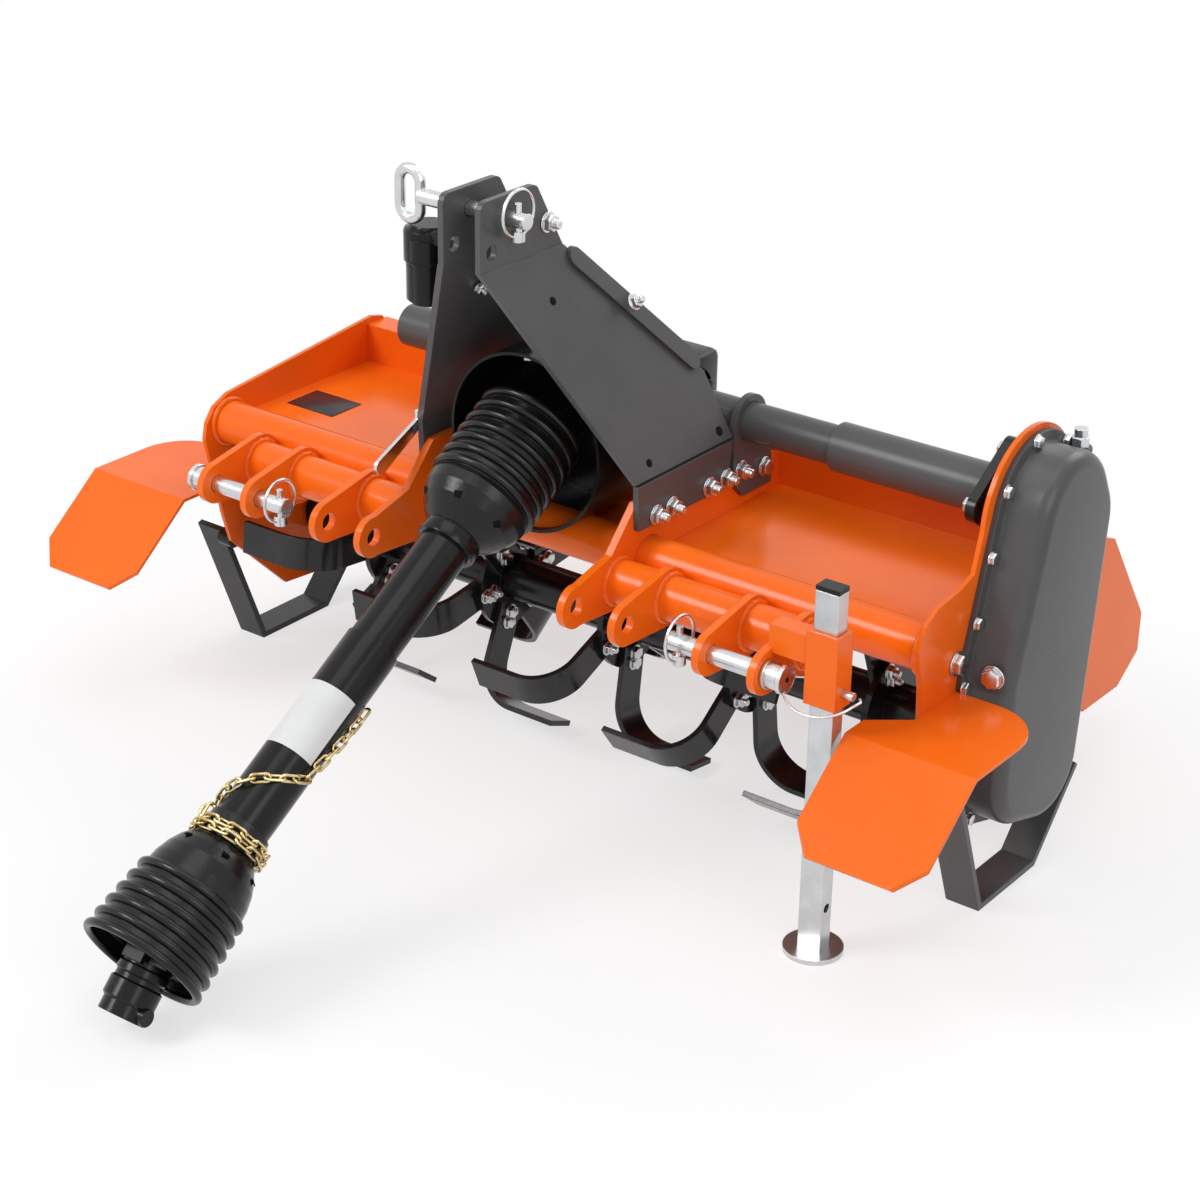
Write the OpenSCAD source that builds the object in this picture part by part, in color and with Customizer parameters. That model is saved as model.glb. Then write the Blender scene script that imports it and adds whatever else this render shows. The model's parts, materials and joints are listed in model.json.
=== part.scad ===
// Three-point rotary tiller with side chain drive, hood, parking stand and driveline.
// Z is up and the floor is z = 0. The hitch faces -Y and the chain case is on +X.
// Fore-and-aft places are measured from the rotor axis, then shifted so that the
// whole machine is centred on the origin.

/* [Hood] */
// Distance from the centre line to the outer face of the left side plate
left_x = 533.5; // [525:0.5:540]
// Distance from the centre line to the outer face of the right side plate
right_x = 551; // [546:0.5:556]
// Thickness of the side plates
plate_t = 6; // [5:0.5:8]
// Thickness of the deck sheet
deck_t = 4; // [3:0.5:6]
// Height of the deck's upper face
deck_z = 358; // [356:1:364]
// Height of the rear rail above the deck
rail_h = 54; // [40:1:64]
// Outer radius of the front cross tube
front_tube_r = 28; // [24:1:30]
// Place of the front tube ahead of the rotor axis
front_tube_y = -159; // [-165:1:-155]
// Height of the front tube's axis
front_tube_z = 354; // [350:1:358]

/* [Rotor] */
// Height of the rotor axis
rotor_z = 175; // [174:0.5:178]
// Radius swept by the tine tips
tine_r = 169; // [160:1:170]
// Outer radius of the rotor tube
rotor_tube_r = 30; // [26:1:34]
// Radius of the tine flanges
flange_r = 68; // [62:1:72]
// Thickness of a tine flange
flange_t = 8; // [6:1:10]
// Thickness of a tine
tine_t = 7; // [6:0.5:8]
// Width of a tine's blade
tine_w = 44; // [36:1:48]
// Straight length of a tine's turned foot
tine_foot = 70; // [50:1:74]
// Inner radius of a tine's bend
bend_r = 50; // [40:1:52]
// Number of tine flanges
flange_n = 5; // [4:1:5]
// Radius of the rotor's stub shafts
stub_r = 20; // [16:0.5:24]

/* [Hitch] */
// Distance of the lower hitch pins ahead of the rotor axis
lower_pin_y = -297; // [-302:1:-292]
// Height of the lower hitch pins
lower_pin_z = 340; // [336:1:344]
// Radius of the lower hitch pins
lower_pin_r = 11; // [10:0.1:12]
// Clearance round a hitch pin in its lug
pin_gap = 0.4; // [0.2:0.1:0.6]
// Outer lugs, from the centre line
lug_outer_x = 418; // [414:1:422]
// Second lugs, from the centre line
lug_second_x = 344; // [338:1:350]
// Third lugs, from the centre line
lug_third_x = 228; // [222:1:234]
// Long plates, from the centre line
lug_long_x = 155; // [152:1:160]
// Thickness of the lugs
lug_t = 10; // [8:1:12]
// Radius of a lug's nose
lug_r = 26; // [24:1:28]
// Radius of the hitch tubes
hitch_tube_r = 27; // [24:1:28]
// Place of the hitch tubes ahead of the rotor axis
hitch_tube_y = -217; // [-219:1:-215]
// Height of the hitch tubes
hitch_tube_z = 345; // [342:1:348]

/* [Mast] */
// Thickness of the mast plates
mast_t = 8; // [6:1:10]
// Gap between the mast plates at the top pin
mast_gap = 46; // [44:1:54]
// Height of the top hitch pin
top_pin_z = 770; // [760:1:780]
// Distance of the top hitch pin ahead of the rotor axis
top_pin_y = -264; // [-268:1:-260]
// Radius of the top hitch pin
top_pin_r = 9.5; // [9:0.1:10]

/* [Drive] */
// Height of the cross axle and chain sprocket
axle_z = 469; // [466:1:472]
// Place of the cross axle behind the rotor axis
axle_y = 34; // [32:1:38]
// Radius of the axle tube
axle_r = 24.5; // [22:0.5:25]
// Radius of the axle's outer sleeve
sleeve_r = 30.5; // [29:0.5:34]
// Height of the power input shaft
input_z = 469; // [466:1:472]
// Radius of the input shield
shield_r = 112; // [108:1:114]
// Depth of the chain case outside its side plate
case_d = 62; // [56:1:66]

/* [Driveline] */
// Place of the implement cross ahead of the rotor axis
cross_y = -205; // [-208:1:-202]
// Slope of the driveline below the horizontal
shaft_drop = 31.5; // [29:0.1:31.7]
// Distance between the two crosses
shaft_l = 716; // [700:1:718]
// Slope of the tractor yoke below the horizontal
yoke_drop = 46; // [40:1:47]
// Outer radius of the inner guard tube
guard_r = 31; // [29:0.5:31]
// Outer radius of the outer guard tube
outer_guard_r = 33.5; // [33.5:0.5:36]
// Length of the tractor yoke from its cross
yoke_l = 98; // [90:1:100]
// Radius of the tractor yoke's hub
yoke_r = 27; // [25:1:28]
// Radius of the splined bore
spline_r = 17.5; // [16:0.5:19]

/* [Stand] */
// Width of the stand leg across the machine
leg_w = 30; // [28:1:32]
// Depth of the stand leg along the machine
leg_d = 20; // [18:1:24]
// Place of the stand from the centre line
stand_x = 488; // [486:1:492]
// Place of the stand ahead of the rotor axis
stand_y = -276; // [-280:1:-272]
// Height of the top of the leg
leg_h = 452; // [440:1:470]
// Radius of the foot disc
foot_r = 35; // [30:1:40]
// Wall of the stand socket
socket_t = 5; // [4:0.5:6]
// Running clearance of the leg in its socket
leg_gap = 0.4; // [0.3:0.1:0.8]

/* [Skids, flaps and tailgate] */
// Width of a skid bar
skid_w = 44; // [38:1:46]
// Thickness of a skid bar
skid_t = 8; // [6:1:10]
// Thickness of the sheet of flaps and tailgate
sheet_t = 4; // [3:0.5:5]
// Width of a flap
flap_w = 166; // [160:1:170]
// Distance from the centre line to a flap's outer edge
flap_x = 673.5; // [668:0.5:678]
// Radius of the tailgate's hinge rod
rod_r = 7; // [6:0.5:8]

/* [Hidden] */
$fn = 48;
// Small play between two pieces that turn on each other
turn_gap = 0.05;
// Gap between flat faces of two pieces that move past each other
side_gap = 0.5;
in_left = left_x - plate_t;
in_right = right_x - plate_t;
// Gap left between two pieces that are welded or bolted together
seat_gap = 0.3;

yoke_front_y = cross_y - shaft_l * cos(shaft_drop) - yoke_l * cos(yoke_drop) - yoke_r * sin(yoke_drop);
tail_y = 417;
shift_y = -(yoke_front_y + tail_y) / 2;

hinge_y = 170;
hinge_z = deck_z + 14;
rail_y = 116;
rail_lip = 40;

orange = [0.95, 0.36, 0.08];
grey = [0.27, 0.28, 0.29];
black = [0.06, 0.06, 0.065];
zinc = [0.78, 0.79, 0.8];
brass = [0.72, 0.6, 0.3];

// Shapes that are used more than once

// Puts the machine over the origin
module place() translate([0, shift_y, 0]) children();

// Extrudes an outline given in (y, z) from x0 to x1
module along_x(x0, x1) translate([x0, 0, 0]) rotate([90, 0, 90]) linear_extrude(x1 - x0) children();

// A round bar along X
module bar_x(x0, x1, y, z, r) translate([x0, y, z]) rotate([0, 90, 0]) cylinder(r = r, h = x1 - x0);

function arc(c, r, a0, a1, n) = [for (i = [0:n]) c + r * [cos(a0 + (a1 - a0) * i / n),
    sin(a0 + (a1 - a0) * i / n)]];
function left_of(a, b) = [a[1] - b[1], b[0] - a[0]] / norm(b - a);

// The point that lies t to the left of a bent line at its corner i
function beside(p, i, t) =
  let (n = len(p))
  let (a = left_of(p[max(i - 1, 0)], p[max(i, 1)]))
  let (b = left_of(p[min(i, n - 2)], p[min(i + 1, n - 1)]))
  p[i] + t * (a + b) / (1 + a * b);

// The outline of a bent sheet of thickness t
function sheet(p, t) = concat(p, [for (i = [len(p) - 1:-1:0]) beside(p, i, t)]);

// Two discs joined by their outer tangents
module tapered_link(c1, r1, c2, r2) {
  d = norm(c2 - c1);
  base = atan2(c2[1] - c1[1], c2[0] - c1[0]);
  spread = acos((r1 - r2) / d);
  translate(c1) circle(r1);
  translate(c2) circle(r2);
  polygon([
    c1 + r1 * [cos(base + spread), sin(base + spread)],
    c1 + r1 * [cos(base - spread), sin(base - spread)],
    c2 + r2 * [cos(base - spread), sin(base - spread)],
    c2 + r2 * [cos(base + spread), sin(base + spread)]
  ]);
}

// Hood

plate_foot_z = 79;
plate_back_y = 160;
plate_rear = [[148, 416], [plate_back_y, 398], [plate_back_y, 140], [122, plate_foot_z], [-9, plate_foot_z],
  [-64, 84], [-164, 181], [-176, 222]];
left_front = [[-203, 340], [-198, 362], [-184, 380], [-157, 392], [127, 421]];
right_front = [[-182, 315], [-192, 362], [-179, 390], [-153, 404], [-111, 408], [-80, 417], [-65, 467]];
// Round top of the right plate, behind the chain case
plate_top = [34, 460];
plate_top_r = 100;

module deck() color(orange) place()
  along_x(-in_left, in_right) polygon(sheet([[rail_y + rail_lip, deck_z + rail_h],
    [rail_y, deck_z + rail_h], [rail_y, deck_z], [front_tube_y + front_tube_r + 6, deck_z],
    [front_tube_y + front_tube_r + seat_gap, deck_z - 12]], deck_t));

module front_tube() color(orange) place()
  bar_x(-in_left, in_right, front_tube_y, front_tube_z, front_tube_r);

module side_plate_left() color(orange) place() difference() {
  along_x(-left_x, -in_left) polygon(concat(left_front, plate_rear));
  bar_x(-left_x - 1, -in_left + 1, 0, rotor_z, stub_r + turn_gap);
}

module side_plate_right() color(orange) place() difference() {
  union() {
    along_x(in_right, right_x) polygon(concat(right_front, [plate_top, [128, 426]], plate_rear));
    bar_x(in_right, right_x, plate_top[0], plate_top[1], plate_top_r);
  }
  bar_x(in_right - 1, right_x + 1, 0, rotor_z, stub_r + turn_gap);
}

// Hitch

hitch_pin_hole = lower_pin_r + pin_gap;

module lug(x) difference() {
  along_x(x - lug_t / 2, x + lug_t / 2) tapered_link([hitch_tube_y, hitch_tube_z], 36, [lower_pin_y,
      lower_pin_z], lug_r);
  bar_x(x - lug_t, x + lug_t, lower_pin_y, lower_pin_z, hitch_pin_hole);
  bar_x(x - lug_t, x + lug_t, front_tube_y, front_tube_z, front_tube_r + seat_gap);
}

module hitch_half(outer) {
  bar_x(lug_long_x + lug_t / 2, outer, hitch_tube_y, hitch_tube_z, hitch_tube_r);
  for (x = [lug_outer_x, lug_second_x, lug_third_x]) lug(x);
}

module hitch_left() color(orange) place() mirror([1, 0, 0]) hitch_half(lug_outer_x + lug_t / 2);

socket_x0 = stand_x - leg_w / 2 - leg_gap - socket_t;

module hitch_right() color(orange) place() {
  hitch_half(lug_outer_x + lug_t / 2 + 8);
  // arm that carries the stand socket, clear above the head of the hitch pin
  translate([lug_outer_x, stand_y - 13, lower_pin_z + 22]) cube([socket_x0 - lug_outer_x, 26, 34]);
}

long_top_z = 432;

lug_blend = 1.5;

module long_plate(x) difference() {
  union() {
    bar_x(x - lug_t / 2, x + lug_t / 2, lower_pin_y, lower_pin_z, lug_r);
    along_x(x - lug_t / 2, x + lug_t / 2) polygon([[lower_pin_y, lower_pin_z + lug_r - lug_blend],
      [hitch_tube_y - 15, hitch_tube_z + 36], [-185, long_top_z], [40, long_top_z],
      [rail_y - seat_gap, deck_z + 42], [rail_y - seat_gap, deck_z], [front_tube_y + 12, deck_z],
      [front_tube_y, front_tube_z], [front_tube_y - 14, front_tube_z - 14],
      [hitch_tube_y + 18, hitch_tube_z - 26], [hitch_tube_y, hitch_tube_z - 36],
      [lower_pin_y, lower_pin_z - lug_r + lug_blend]]);
  }
  bar_x(x - lug_t, x + lug_t, lower_pin_y, lower_pin_z, hitch_pin_hole);
  bar_x(x - lug_t, x + lug_t, front_tube_y, front_tube_z, front_tube_r + seat_gap);
}

module long_plate_left() color(orange) place() long_plate(-lug_long_x);

module long_plate_right() color(orange) place() long_plate(lug_long_x);

pin_head_l = 26;
pin_reach = 46;

module lower_pin() {
  head_x = lug_outer_x + lug_t / 2 + seat_gap;
  bar_x(lug_second_x - lug_t / 2 - pin_reach, head_x, lower_pin_y, lower_pin_z, lower_pin_r);
  bar_x(head_x, head_x + pin_head_l, lower_pin_y, lower_pin_z, lower_pin_r + 4);
}

linch_r = 4;
ring_r = 27;
ring_wire = 2;
lower_linch_x = lug_second_x - lug_t / 2 - pin_reach + 12;

module lower_pin_right() color(zinc) place() difference() {
  lower_pin();
  translate([lower_linch_x, lower_pin_y, lower_pin_z - 40]) cylinder(r = linch_r + 0.2, h = 80);
}

module lower_pin_left() color(zinc) place() mirror([1, 0, 0]) difference() {
  lower_pin();
  translate([lower_linch_x, lower_pin_y, lower_pin_z - 40]) cylinder(r = linch_r + 0.2, h = 80);
}

// A linch pin pushed up through a pin of radius r along X, with its spring ring round that pin
module linch(r) {
  head_z = -r - 10;
  translate([0, 0, head_z]) cylinder(r = linch_r, h = 2 * r + 20);
  translate([0, 0, head_z - 5]) cylinder(r = 8, h = 12);
  translate([0, 0, head_z + ring_r]) rotate([0, 90, 0]) rotate_extrude() translate([ring_r, 0])
      circle(ring_wire);
}

top_linch_x = mast_gap / 2 + mast_t + 16;

module linch_pins() color(zinc) place() {
  for (s = [-1, 1]) translate([s * lower_linch_x, lower_pin_y, lower_pin_z]) linch(lower_pin_r);
  translate([top_linch_x, top_pin_y, top_pin_z]) linch(top_pin_r);
}

// Mast

mast_foot_x = lug_long_x + lug_t / 2;
mast_top_x = mast_gap / 2;
crease_drop = 56;
crease_top_z = top_pin_z - crease_drop;
crease_low_z = 456;
splay_h = crease_top_z - crease_low_z;
crown_h = 14;

// Height on the splayed part, as steps of its 258 parts
function splay_z(step) = crease_low_z + splay_h * step / 258;

module mast_side() {
  // upper part that carries the top pin
  along_x(mast_top_x, mast_top_x + mast_t)
    polygon(concat(arc([-298, top_pin_z + crown_h], 12, 180, 90, 4),
      arc([-218, top_pin_z + crown_h], 12, 90, 20, 4), [[-163, crease_top_z], [-310, crease_top_z]]));
  // splayed part, cut from a bent sheet
  intersection() {
    translate([0, 100, 0]) rotate([90, 0, 0]) linear_extrude(500) polygon(sheet([[mast_foot_x,
        crease_low_z - 0.01],
      [mast_top_x, crease_top_z + 0.01]], -mast_t));
    along_x(0, 300) polygon([[-310, crease_top_z], [-163, crease_top_z], [-66, splay_z(147)],
      [-23, splay_z(99)], [-8, splay_z(78)], [-2, crease_low_z], [-193, crease_low_z]]);
  }
  // foot that is bolted to the long plate
  along_x(mast_foot_x, mast_foot_x + mast_t)
    polygon([[-193, crease_low_z], [-190, 400], [-12, 398], [-2, crease_low_z]]);
}

module mast_holes() {
  bar_x(-100, 100, top_pin_y, top_pin_z, top_pin_r + pin_gap);
  bar_x(-100, 100, -291, crease_top_z + 21, 9);
}

module mast_right() color(grey) place() difference() { mast_side(); mast_holes(); }

module mast_left() color(grey) place() difference() { mirror([1, 0, 0]) mast_side(); mast_holes(); }

strap_t = 5;
strap_r = 11;
strap_top = [-154, splay_z(243)];
strap_low = [-25, splay_z(99)];
spacer = [-192, crease_top_z + 33];

mast_line = [[mast_foot_x, crease_low_z], [mast_top_x, crease_top_z]];
strap_line = [for (i = [0, 1]) beside(mast_line, i, -mast_t - seat_gap)];

// Strap along the rear edge of the splayed part, on its outer face
module mast_strap() intersection() {
  translate([0, 100, 0]) rotate([90, 0, 0]) linear_extrude(500) polygon(sheet(strap_line, -strap_t));
  along_x(0, 300) tapered_link(strap_top, strap_r, strap_low, strap_r);
}

module mast_brace() color(grey) place() {
  bar_x(-mast_top_x + seat_gap, mast_top_x - seat_gap, spacer[0], spacer[1], 8);
  mast_strap();
  mirror([1, 0, 0]) mast_strap();
}

handle_x = -111;
handle_r = 15.5;
handle_h = 14;
handle_wire = 6.5;

// Long ring in the plane across the machine
module handle_ring() {
  for (s = [0, 180]) rotate([0, s, 0]) {
    translate([0, 0, handle_h]) rotate([90, 0, 0]) rotate_extrude(angle = 180) translate([handle_r,
        0]) circle(handle_wire);
    translate([handle_r, 0, -handle_h]) cylinder(r = handle_wire, h = 2 * handle_h);
  }
}

module top_pin() color(zinc) place() difference() {
  union() {
    bar_x(handle_x + handle_r, mast_top_x + mast_t + 30, top_pin_y, top_pin_z, top_pin_r);
    bar_x(-mast_top_x - mast_t - 16, -mast_top_x - mast_t - seat_gap, top_pin_y, top_pin_z, top_pin_r + 5);
    translate([handle_x, top_pin_y, top_pin_z]) handle_ring();
  }
  translate([top_linch_x, top_pin_y, top_pin_z - 40]) cylinder(r = linch_r + 0.2, h = 80);
}

can_r = 20;
can_x = -96;
can_y = -252;
can_z = crease_top_z - 74;
can_l = 86;

module manual_canister() color(black) place() {
  translate([can_x, can_y, can_z]) cylinder(r = can_r, h = can_l);
  translate([can_x, can_y, can_z + can_l - 34]) cylinder(r = can_r + 3, h = 26);
  translate([can_x, can_y - 12, crease_top_z + 1]) cube([-mast_top_x - mast_t - seat_gap - can_x, 24, 12]);
}

hook_t = 5;
hook_x = -mast_foot_x - mast_t - seat_gap - hook_t;

module shaft_hook() color(zinc) place() along_x(hook_x, hook_x + hook_t) {
  translate([-192, 443]) square([42, 24]);
  tapered_link([-259, 415], 10, [-180, 455], 6);
}

// Drive

box_w = 140;
box_d = 88;
boss_y = -60;
boss_r = 52;
housing_r = 56;
cap_r = 47;
cap_w = 9;
bore_l = 20;

module gearbox() color(black) place() difference() {
  union() {
    translate([-box_w / 2, axle_y - box_d / 2, deck_z]) cube([box_w, box_d, axle_z - deck_z]);
    translate([-box_w / 2 - 14, axle_y - box_d / 2 - 6, deck_z]) cube([box_w + 28, box_d + 12, 14]);
    bar_x(-box_w / 2, box_w / 2, axle_y, axle_z, housing_r);
    bar_x(-box_w / 2 - cap_w, box_w / 2 + cap_w, axle_y, axle_z, cap_r);
    translate([0, boss_y, input_z]) rotate([-90, 0, 0]) cylinder(r = boss_r, h = axle_y - boss_y);
    translate([-56, axle_y - 28, axle_z]) cube([112, 56, 64]);
  }
  bar_x(box_w / 2 + cap_w - bore_l, box_w, axle_y, axle_z, axle_r + seat_gap);
  bar_x(-box_w, -box_w / 2 - cap_w + bore_l, axle_y, axle_z, stub_sleeve_r + seat_gap);
}

cross_r = 8;
cross_arm = 30;
ear_t = 12;
ear_r = 14;
// Distance from a cross to the hub of its fork
fork_back = 34;
shield_y = -195;
shield_t = 4;
input_r = 17.4;
shield_l = boss_y - seat_gap - shield_y;

// A fork of two ears that hold a cross; the fork's hub leads away along +Y and the pins lie along X
module fork(hub_r, hub_l) difference() {
  union() {
    for (x = [-cross_arm, cross_arm - ear_t]) along_x(x, x + ear_t) {
      circle(ear_r);
      translate([0, -ear_r]) square([fork_back + 4, 2 * ear_r]);
    }
    translate([0, fork_back, 0]) rotate([-90, 0, 0]) cylinder(r = hub_r, h = hub_l);
  }
  bar_x(-60, 60, 0, 0, cross_r + turn_gap);
}

module cross_pins() {
  bar_x(-cross_arm, cross_arm, 0, 0, cross_r);
  cylinder(r = cross_r, h = 2 * cross_arm, center = true);
  sphere(r = 13);
}

module input_shaft() color(zinc) place() translate([0, cross_y, input_z]) {
  rotate([0, 90, 0]) fork(24, 20);
  rotate([-90, 0, 0]) translate([0, 0, fork_back]) cylinder(r = input_r,
      h = boss_y - seat_gap - cross_y - fork_back);
}

module pto_shield() color(black) place() difference() {
  translate([0, shield_y, input_z]) rotate([-90, 0, 0]) difference() {
    cylinder(r = shield_r, h = shield_l);
    translate([0, 0, -1]) cylinder(r = shield_r - shield_t, h = shield_l + 1 - shield_t);
    cylinder(r = input_r + 6, h = 2 * shield_l);
  }
  bar_x(-left_x, right_x, front_tube_y, front_tube_z, front_tube_r + seat_gap);
  translate([-left_x, front_tube_y, 0]) cube([left_x + right_x, 400, deck_z + seat_gap]);
}

sleeve_x = 297;
bracket_x = lug_long_x + lug_t / 2 + seat_gap;
bracket_t = 8;
bracket_r = 34;

module axle_bracket() color(grey) place() difference() {
  along_x(bracket_x, bracket_x + bracket_t) union() {
    translate([axle_y, axle_z]) circle(bracket_r);
    polygon([[axle_y - bracket_r, axle_z], [axle_y - bracket_r, deck_z + 40], [axle_y - 10, deck_z + 16],
      [axle_y + 50, deck_z + 16], [axle_y + 50, deck_z + 44], [axle_y + bracket_r, axle_z]]);
  }
  bar_x(0, 300, axle_y, axle_z, axle_r + seat_gap);
}

tube_flange_t = 14;

module axle_tube() color(grey) place() {
  bar_x(box_w / 2 + cap_w - bore_l + seat_gap, sleeve_x, axle_y, axle_z, axle_r);
  bar_x(sleeve_x, in_right, axle_y, axle_z, sleeve_r);
  bar_x(in_right - tube_flange_t, in_right, axle_y, axle_z, sleeve_r + 18);
}

stub_sleeve_r = 28;
stub_end_x = -375;

module axle_stub() color(grey) place()
  bar_x(stub_end_x, -box_w / 2 - cap_w + bore_l - seat_gap, axle_y, axle_z, stub_sleeve_r);

case_flange = 7;
case_lip = 14;
// Centre and radius of the rounds that the case wraps
case_rounds = [[40, 460, 78], [62, 440, 68], [-20, 285, 70], [-20, 165, 70], [30, 150, 70]];
plug_x = 24;
plug_y = 100;
neck_z = 521;

// Outline of the case, grown or drawn in by one amount
module case_outline(grow) hull()
  for (c = case_rounds) translate([c[0], c[1]]) circle(c[2] + grow, $fn = 32);

module chain_case() color(grey) place() {
  along_x(right_x, right_x + case_flange) case_outline(case_lip);
  hull() {
    along_x(right_x + case_flange, right_x + case_d - 18) case_outline(0);
    along_x(right_x + case_d - 6, right_x + case_d - 5) case_outline(-7);
    along_x(right_x + case_d - 1, right_x + case_d) case_outline(-18);
  }
  translate([right_x + plug_x, plug_y, axle_z]) cylinder(r = 12, h = neck_z - axle_z);
}

module oil_plug() color(zinc) place() translate([right_x + plug_x, plug_y, neck_z]) {
  cylinder(r = 11, h = 12, $fn = 6);
  cylinder(r = 8, h = 22);
}

module rotor_bearing() color(black) place() difference() {
  union() {
    bar_x(-left_x - 24, -left_x, 0, rotor_z, 44);
    bar_x(-left_x - 6, -left_x, 0, rotor_z, 58);
  }
  bar_x(-left_x - 16, -left_x + 1, 0, rotor_z, stub_r + turn_gap);
}

// Rotor

stub_reach = 14;
flange_x0 = -372;
flange_step = 196;
tine_angle = -97;
tine_turn = 14.5;
tine_root = 36;
// Radius at which the flat of a foot runs, so that its corners sweep the full radius
foot_r_flat = sqrt(tine_r * tine_r - tine_w * tine_w / 4);
bend_start = foot_r_flat - bend_r - tine_t;

function flange_x(i) = flange_x0 + i * flange_step;

module rotor_tube() color(black) place() {
  bar_x(-in_left + 10, in_right - 10, 0, rotor_z, rotor_tube_r);
  bar_x(-left_x - stub_reach, right_x - side_gap, 0, rotor_z, stub_r);
  for (i = [0:flange_n - 1]) bar_x(flange_x(i) - flange_t / 2, flange_x(i) + flange_t / 2, 0,
      rotor_z, flange_r);
}

// A tine that points down -Z and turns its foot towards +X
module tine() {
  along_x(0, tine_t) polygon([[-21, -tine_root], [21, -tine_root], [tine_w / 2, -bend_start],
      [-tine_w / 2, -bend_start]]);
  translate([tine_t + bend_r, 0, -bend_start]) {
    rotate([90, 0, 0]) rotate([0, 0, 180]) rotate_extrude(angle = 90) translate([bend_r,
        -tine_w / 2]) square([tine_t, tine_w]);
    translate([0, -tine_w / 2, -bend_r - tine_t]) cube([tine_foot, tine_w, tine_t]);
  }
}

module tines() color(black) place() translate([0, 0, rotor_z])
  for (i = [0:flange_n - 1]) for (k = [0:2]) {
    a = tine_angle + tine_turn * i + 120 * k;
    translate([flange_x(i) - flange_t / 2, 0, 0]) rotate([a, 0, 0]) mirror([1, 0, 0]) tine();
    // the last flange has no room for feet on its outer side
    if (i < flange_n - 1) translate([flange_x(i) + flange_t / 2, 0, 0]) rotate([a + 60, 0, 0]) tine();
  }

// Skids and flaps

skid_line = [[-160, 188], [-88, 0], [44, 0], [134, 100]];
skid_bolts = [[-152, 178], [118, 100]];

skid_x = right_x + seat_gap;

// Skid bar beside a side plate whose outer face is at x; both bars stand the same way out
module skid(x) {
  along_x(skid_x, skid_x + skid_w) polygon(sheet(skid_line, skid_t));
  for (b = skid_bolts) bar_x(x, skid_x + 4, b[0], b[1], 12);
}

module skid_right() color(grey) place() skid(right_x);

module skid_left() color(black) place() mirror([1, 0, 0]) skid(left_x);

flap_z = 278;
flap_bend_y = -265;
flap_low = [-380, 186];
flap_back_y = -105;
flap_nose_y = -193;
flap_round = 68;
flap_cut = 32;

// Flap beside a side plate whose outer face is at x: one bent sheet, cut to its outline
module flap(x) intersection() {
  x0 = flap_x - flap_w;
  along_x(x0, flap_x) polygon(sheet([flap_low, [flap_bend_y, flap_z], [flap_back_y, flap_z]], sheet_t));
  linear_extrude(2 * flap_z) polygon(concat(
    [[x0, flap_low[0] + flap_cut * 0.8], [x0 + flap_cut, flap_low[0] - 5], [flap_x - flap_cut,
        flap_low[0] - 5],
      [flap_x, flap_low[0] + flap_cut * 0.8]],
    arc([flap_x - flap_round, flap_back_y - flap_round], flap_round, 0, 90, 8),
    [[x, flap_back_y], [x, flap_nose_y], [x0, flap_nose_y - 35]]));
}

module flap_right() color(orange) place() flap(right_x);

module flap_left() color(orange) place() mirror([1, 0, 0]) flap(left_x);

// Stand

socket_z0 = 316;
socket_z1 = 404;
socket_w = leg_w + 2 * leg_gap + 2 * socket_t;
socket_d = leg_d + 2 * leg_gap + 2 * socket_t;
foot_t = 6;

module stand_socket() color(orange) place() difference() {
  translate([stand_x - socket_w / 2, stand_y - socket_d / 2, socket_z0]) cube([socket_w, socket_d,
      socket_z1 - socket_z0]);
  translate([stand_x - leg_w / 2 - leg_gap, stand_y - leg_d / 2 - leg_gap, 0])
      cube([leg_w + 2 * leg_gap, leg_d + 2 * leg_gap, 600]);
  bar_x(stand_x, stand_x + 60, stand_y, socket_z0 + 18, 5.2);
}

module stand_pin() color(zinc) place() {
  bar_x(stand_x + leg_w / 2 + leg_gap, stand_x + socket_w / 2 + 14, stand_y, socket_z0 + 18, 5);
}

module stand_leg() color(zinc) place() difference() {
  translate([stand_x - leg_w / 2, stand_y - leg_d / 2, foot_t]) cube([leg_w, leg_d, leg_h - foot_t]);
  translate([stand_x - leg_w / 2 + 3, stand_y - leg_d / 2 + 3, foot_t + 3]) cube([leg_w - 6,
      leg_d - 6, leg_h]);
  bar_x(stand_x - 40, stand_x + 40, stand_y, 60, 5.5);
}

module stand_foot() color(grey) place() translate([stand_x, stand_y, 0]) cylinder(r = foot_r, h = foot_t);

module stand_cap() color(black) place() translate([stand_x - leg_w / 2, stand_y - leg_d / 2, leg_h])
    cube([leg_w, leg_d, 6]);

// Tailgate

gate_line = [[hinge_y + 12, hinge_z - 6], [317, 316], [tail_y, 177], [tail_y, 123], [368, 90]];
gate_feet = [[275, 91], [hinge_y + 4, 220]];
gate_x = in_left;
knuckle_w = 50;

module tailgate_rod() color(zinc) place() {
  bar_x(-gate_x + 20, gate_x - 20, hinge_y, hinge_z, rod_r);
  for (x = [-300, 300]) translate([x - 20, rail_y + deck_t, hinge_z - 6]) cube([40,
      hinge_y - rail_y - deck_t, 12]);
}

module tailgate() color(orange) place() difference() {
  union() {
    along_x(-gate_x, gate_x) polygon(sheet(gate_line, -sheet_t));
    for (x = [-gate_x, gate_x - sheet_t]) along_x(x, x + sheet_t) polygon(concat(gate_line, gate_feet));
    for (x = [-400, -200, 200, 400]) along_x(x - knuckle_w / 2, x + knuckle_w / 2)
      tapered_link([hinge_y, hinge_z], rod_r + 6, [hinge_y + 20, hinge_z - 6], 8);
  }
  bar_x(-600, 600, hinge_y, hinge_z, rod_r + turn_gap);
}

// Driveline, drawn along -Y from the implement cross and then sloped down

module on_shaft() place() translate([0, cross_y, input_z]) rotate([shaft_drop, 0, 0]) children();

// A shape turned about the driveline; its outline is given as (radius, distance from the implement cross)
module turned() rotate([90, 0, 0]) rotate_extrude($fn = 64) children();

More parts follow.
